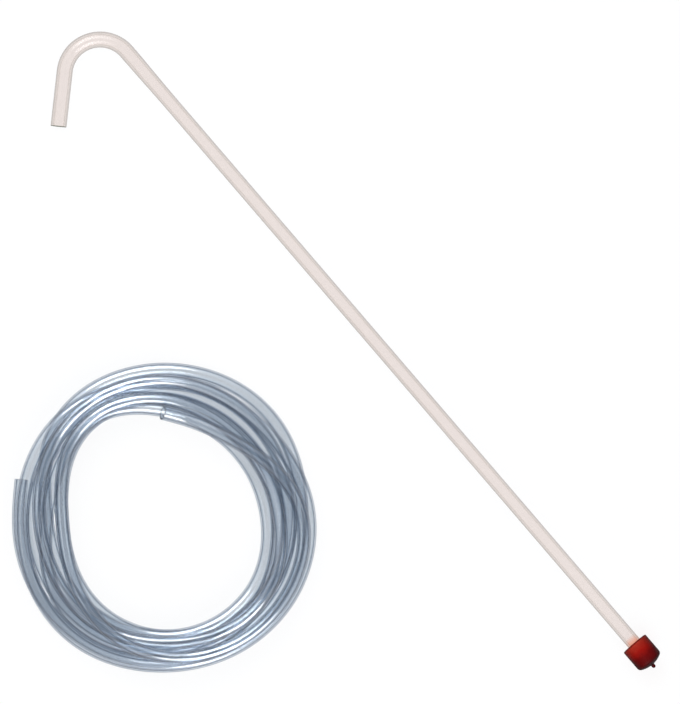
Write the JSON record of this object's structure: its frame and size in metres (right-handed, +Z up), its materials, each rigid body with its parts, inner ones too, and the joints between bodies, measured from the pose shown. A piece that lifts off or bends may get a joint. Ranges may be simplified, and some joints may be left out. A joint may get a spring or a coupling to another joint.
{
  "type": "siphon cane with hose",
  "caption": "Clear J-shaped siphon cane with a red push-on sediment tip, and a loose coil of clear hose that fits its hooked end.",
  "frame": {"origin": "on the floor, under the middle of the box round the cane and its tip as they lie on their side", "axes": "+X along the long leg from the hook to the tip, +Z up, -Y towards the hook's open end and the hose"},
  "size_m": [0.5589, 0.2905, 0.032],
  "materials": {
    "clear_acrylic": "rigid clear extruded acrylic with a faint warm tint, polished walls, sawn ends",
    "red_plastic": "translucent red moulded plastic, smooth and semi-gloss",
    "clear_hose": "soft clear PVC hose with a faint blue-grey tint, glossy"
  },
  "bodies": {
    "cane": {"cane": "clear_acrylic"},
    "tip": {"sediment_tip": "red_plastic"},
    "hose": {"hose_coil": "clear_hose"}
  },
  "joints": [
    {"name": "tip_pull", "type": "slide", "parent": "cane", "child": "tip", "axis": [1, 0, 0.0079], "range_m": [0, 0.02]},
    {"name": "hose_lift", "type": "slide", "parent": "cane", "child": "hose", "axis": [0, 0, 1], "range_m": [0, 0.1]}
  ]
}
